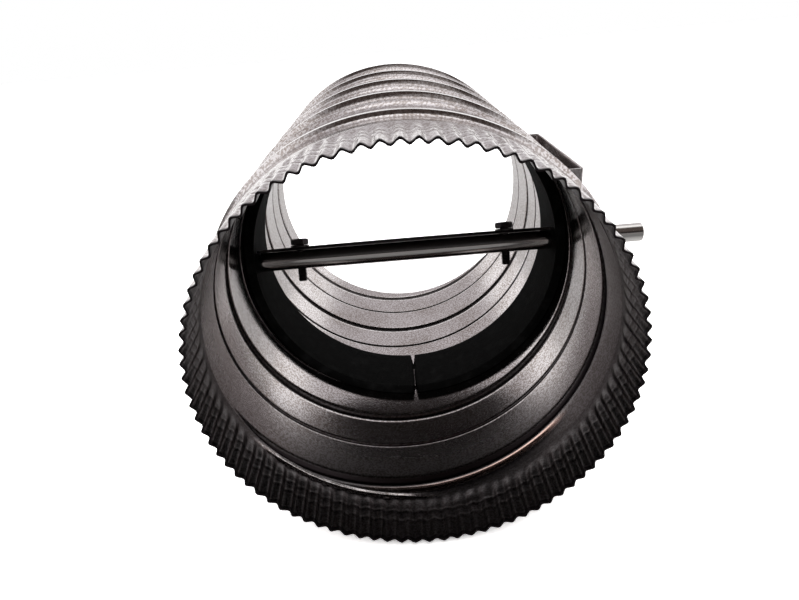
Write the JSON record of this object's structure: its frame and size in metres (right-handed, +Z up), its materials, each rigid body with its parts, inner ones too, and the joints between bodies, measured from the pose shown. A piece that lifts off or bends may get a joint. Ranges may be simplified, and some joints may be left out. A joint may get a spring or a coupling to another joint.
{
  "type": "round duct section with butterfly damper",
  "caption": "Spiral wound round steel duct section with one crimped end and a blade on a turning shaft that shuts inside a rubber band; the shaft's driven end stands out beside a bracket.",
  "frame": {"origin": "middle of the underside of the bounding box; the duct's axis runs parallel to Y at x = -20.5 mm, z = 103.6 mm", "axes": "+Y along the duct from the crimped end to the plain end, +X towards the shaft's driven end, +Z up"},
  "size_m": [0.265, 0.2936, 0.2071],
  "materials": {
    "galvanised_steel": "spangled zinc, satin",
    "black_rubber": "matt",
    "bracket_steel": "zinc, satin",
    "black_nylon": "moulded, satin",
    "plated_shaft": "bright plated, drawn",
    "blade_steel": "spangled zinc, satin",
    "dark_fastener": "dark zinc",
    "spring_steel": "phosphated"
  },
  "bodies": {
    "duct": {"duct_body": "galvanised_steel", "seal_band": "black_rubber", "mounting_bracket": "bracket_steel", "shaft_bush_left": "black_nylon", "shaft_bush_right": "black_nylon"},
    "damper": {"damper_shaft": "plated_shaft", "damper_blade": "blade_steel", "blade_bolt_left": "dark_fastener", "blade_bolt_right": "dark_fastener", "spring_washer_left": "dark_fastener", "spring_washer_right": "dark_fastener", "retaining_ring_left": "spring_steel", "retaining_ring_right": "spring_steel"}
  },
  "joints": [
    {"name": "damper_turn", "type": "hinge", "parent": "duct", "child": "damper", "pos_m": [-0.0205, -0.001, 0.10356], "axis": [1, 0, 0], "range_deg": [-69.5, 20.5]}
  ]
}
